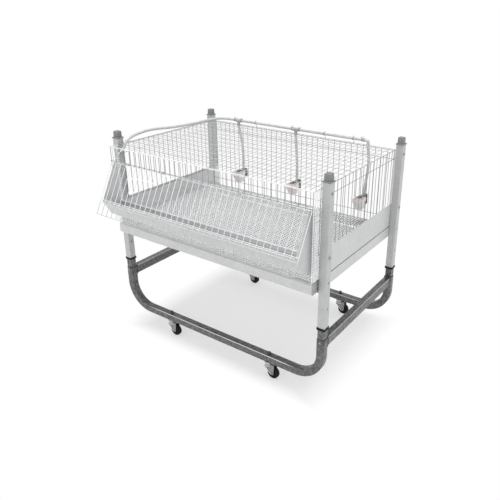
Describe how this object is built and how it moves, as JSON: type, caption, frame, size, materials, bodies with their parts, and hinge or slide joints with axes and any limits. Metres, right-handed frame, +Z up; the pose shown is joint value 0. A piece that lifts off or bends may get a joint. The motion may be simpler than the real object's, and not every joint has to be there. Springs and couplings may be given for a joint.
{
  "type": "poultry show cage",
  "caption": "Wire cage for young poultry on a wheeled tube stand, with a slanted front gate over a feed trough, cup drinkers on a hose and a sliding droppings tray.",
  "frame": {"origin": "on the floor, below the middle of the object's bounding box", "axes": "+X along the cage to the right as seen from the gate, +Y towards the rear wall, +Z up"},
  "size_m": [1.038, 0.7702, 0.89],
  "materials": {
    "post_zinc": "pale galvanised",
    "sheet_zinc": "pale galvanised",
    "tray_zinc": "pale galvanised",
    "base_zinc": "dull hot-dip galvanised",
    "wire_zinc": "bright galvanised",
    "bright_zinc": "zinc plated",
    "cap_plastic": "moulded",
    "collar_plastic": "moulded",
    "wheel_rubber": "satin",
    "hose_rubber": "smooth",
    "fitting_plastic": "moulded",
    "valve_plastic": "moulded",
    "cup_plastic": "moulded"
  },
  "bodies": {
    "frame": {"base_tube_front": "base_zinc", "base_tube_rear": "base_zinc", "caster_stems": "bright_zinc", "drinker_cup_1": "cup_plastic", "drinker_cup_2": "cup_plastic", "drinker_cup_3": "cup_plastic", "drinker_valve_1": "valve_plastic", "drinker_valve_2": "valve_plastic", "drinker_valve_3": "valve_plastic", "drop_hose_1": "hose_rubber", "drop_hose_2": "hose_rubber", "drop_hose_3": "hose_rubber", "feed_trough": "sheet_zinc", "floor_mesh": "wire_zinc", "frame_bolts": "bright_zinc", "front_strip": "wire_zinc", "hose_clips": "fitting_plastic", "hose_fittings": "fitting_plastic", "leg_collar_front_left": "collar_plastic", "leg_collar_front_right": "collar_plastic", "leg_collar_rear_left": "collar_plastic", "leg_collar_rear_right": "collar_plastic", "leg_coupling_front_left": "base_zinc", "leg_coupling_front_right": "base_zinc", "leg_coupling_rear_left": "base_zinc", "leg_coupling_rear_right": "base_zinc", "post_cap_front_left": "cap_plastic", "post_cap_front_right": "cap_plastic", "post_cap_rear_left": "cap_plastic", "post_cap_rear_right": "cap_plastic", "post_front_left": "post_zinc", "post_front_right": "post_zinc", "post_rear_left": "post_zinc", "post_rear_right": "post_zinc", "rear_mesh": "wire_zinc", "rear_rail": "sheet_zinc", "roof_mesh": "wire_zinc", "side_mesh_left": "wire_zinc", "side_mesh_right": "wire_zinc", "side_skirt_left": "sheet_zinc", "side_skirt_right": "sheet_zinc", "side_tie_left": "base_zinc", "side_tie_right": "base_zinc", "water_hose": "hose_rubber"},
    "gate": {"front_gate": "wire_zinc"},
    "tray": {"droppings_tray": "tray_zinc"},
    "fork_front_left": {"caster_fork_front_left": "bright_zinc"},
    "wheel_front_left": {"caster_wheel_front_left": "wheel_rubber"},
    "fork_front_right": {"caster_fork_front_right": "bright_zinc"},
    "wheel_front_right": {"caster_wheel_front_right": "wheel_rubber"},
    "fork_rear_left": {"caster_fork_rear_left": "bright_zinc"},
    "wheel_rear_left": {"caster_wheel_rear_left": "wheel_rubber"},
    "fork_rear_right": {"caster_fork_rear_right": "bright_zinc"},
    "wheel_rear_right": {"caster_wheel_rear_right": "wheel_rubber"},
    "trigger_1": {"drinker_trigger_1": "valve_plastic"},
    "trigger_2": {"drinker_trigger_2": "valve_plastic"},
    "trigger_3": {"drinker_trigger_3": "valve_plastic"}
  },
  "joints": [
    {"name": "gate_hinge", "type": "hinge", "parent": "frame", "child": "gate", "pos_m": [0, -0.27738, 0.781], "axis": [-1, 0, 0], "range_deg": [0, 110]},
    {"name": "tray_slide", "type": "slide", "parent": "frame", "child": "tray", "axis": [0, -1, 0], "range_m": [0, 0.45]},
    {"name": "swivel_front_left", "type": "hinge", "parent": "frame", "child": "fork_front_left", "pos_m": [-0.265, -0.21788, 0.0635], "axis": [0, 0, 1], "continuous": true},
    {"name": "roll_front_left", "type": "hinge", "parent": "fork_front_left", "child": "wheel_front_left", "pos_m": [-0.244, -0.21788, 0.025], "axis": [0, 1, 0], "continuous": true},
    {"name": "swivel_front_right", "type": "hinge", "parent": "frame", "child": "fork_front_right", "pos_m": [0.265, -0.21788, 0.0635], "axis": [0, 0, 1], "continuous": true},
    {"name": "roll_front_right", "type": "hinge", "parent": "fork_front_right", "child": "wheel_front_right", "pos_m": [0.286, -0.21788, 0.025], "axis": [0, 1, 0], "continuous": true},
    {"name": "swivel_rear_left", "type": "hinge", "parent": "frame", "child": "fork_rear_left", "pos_m": [-0.265, 0.36712, 0.0635], "axis": [0, 0, 1], "continuous": true},
    {"name": "roll_rear_left", "type": "hinge", "parent": "fork_rear_left", "child": "wheel_rear_left", "pos_m": [-0.244, 0.36712, 0.025], "axis": [0, 1, 0], "continuous": true},
    {"name": "swivel_rear_right", "type": "hinge", "parent": "frame", "child": "fork_rear_right", "pos_m": [0.265, 0.36712, 0.0635], "axis": [0, 0, 1], "continuous": true},
    {"name": "roll_rear_right", "type": "hinge", "parent": "fork_rear_right", "child": "wheel_rear_right", "pos_m": [0.286, 0.36712, 0.025], "axis": [0, 1, 0], "continuous": true},
    {"name": "trigger_push_1", "type": "hinge", "parent": "frame", "child": "trigger_1", "pos_m": [-0.2767, 0.31342, 0.6285], "axis": [1, 0, 0], "range_deg": [0, 8], "stiffness_Nm_per_rad": 0.02, "springref_deg": -5.73},
    {"name": "trigger_push_2", "type": "hinge", "parent": "frame", "child": "trigger_2", "pos_m": [0.03, 0.31342, 0.6285], "axis": [1, 0, 0], "range_deg": [0, 8], "stiffness_Nm_per_rad": 0.02, "springref_deg": -5.73},
    {"name": "trigger_push_3", "type": "hinge", "parent": "frame", "child": "trigger_3", "pos_m": [0.36566, 0.31342, 0.6285], "axis": [1, 0, 0], "range_deg": [0, 8], "stiffness_Nm_per_rad": 0.02, "springref_deg": -5.73}
  ]
}
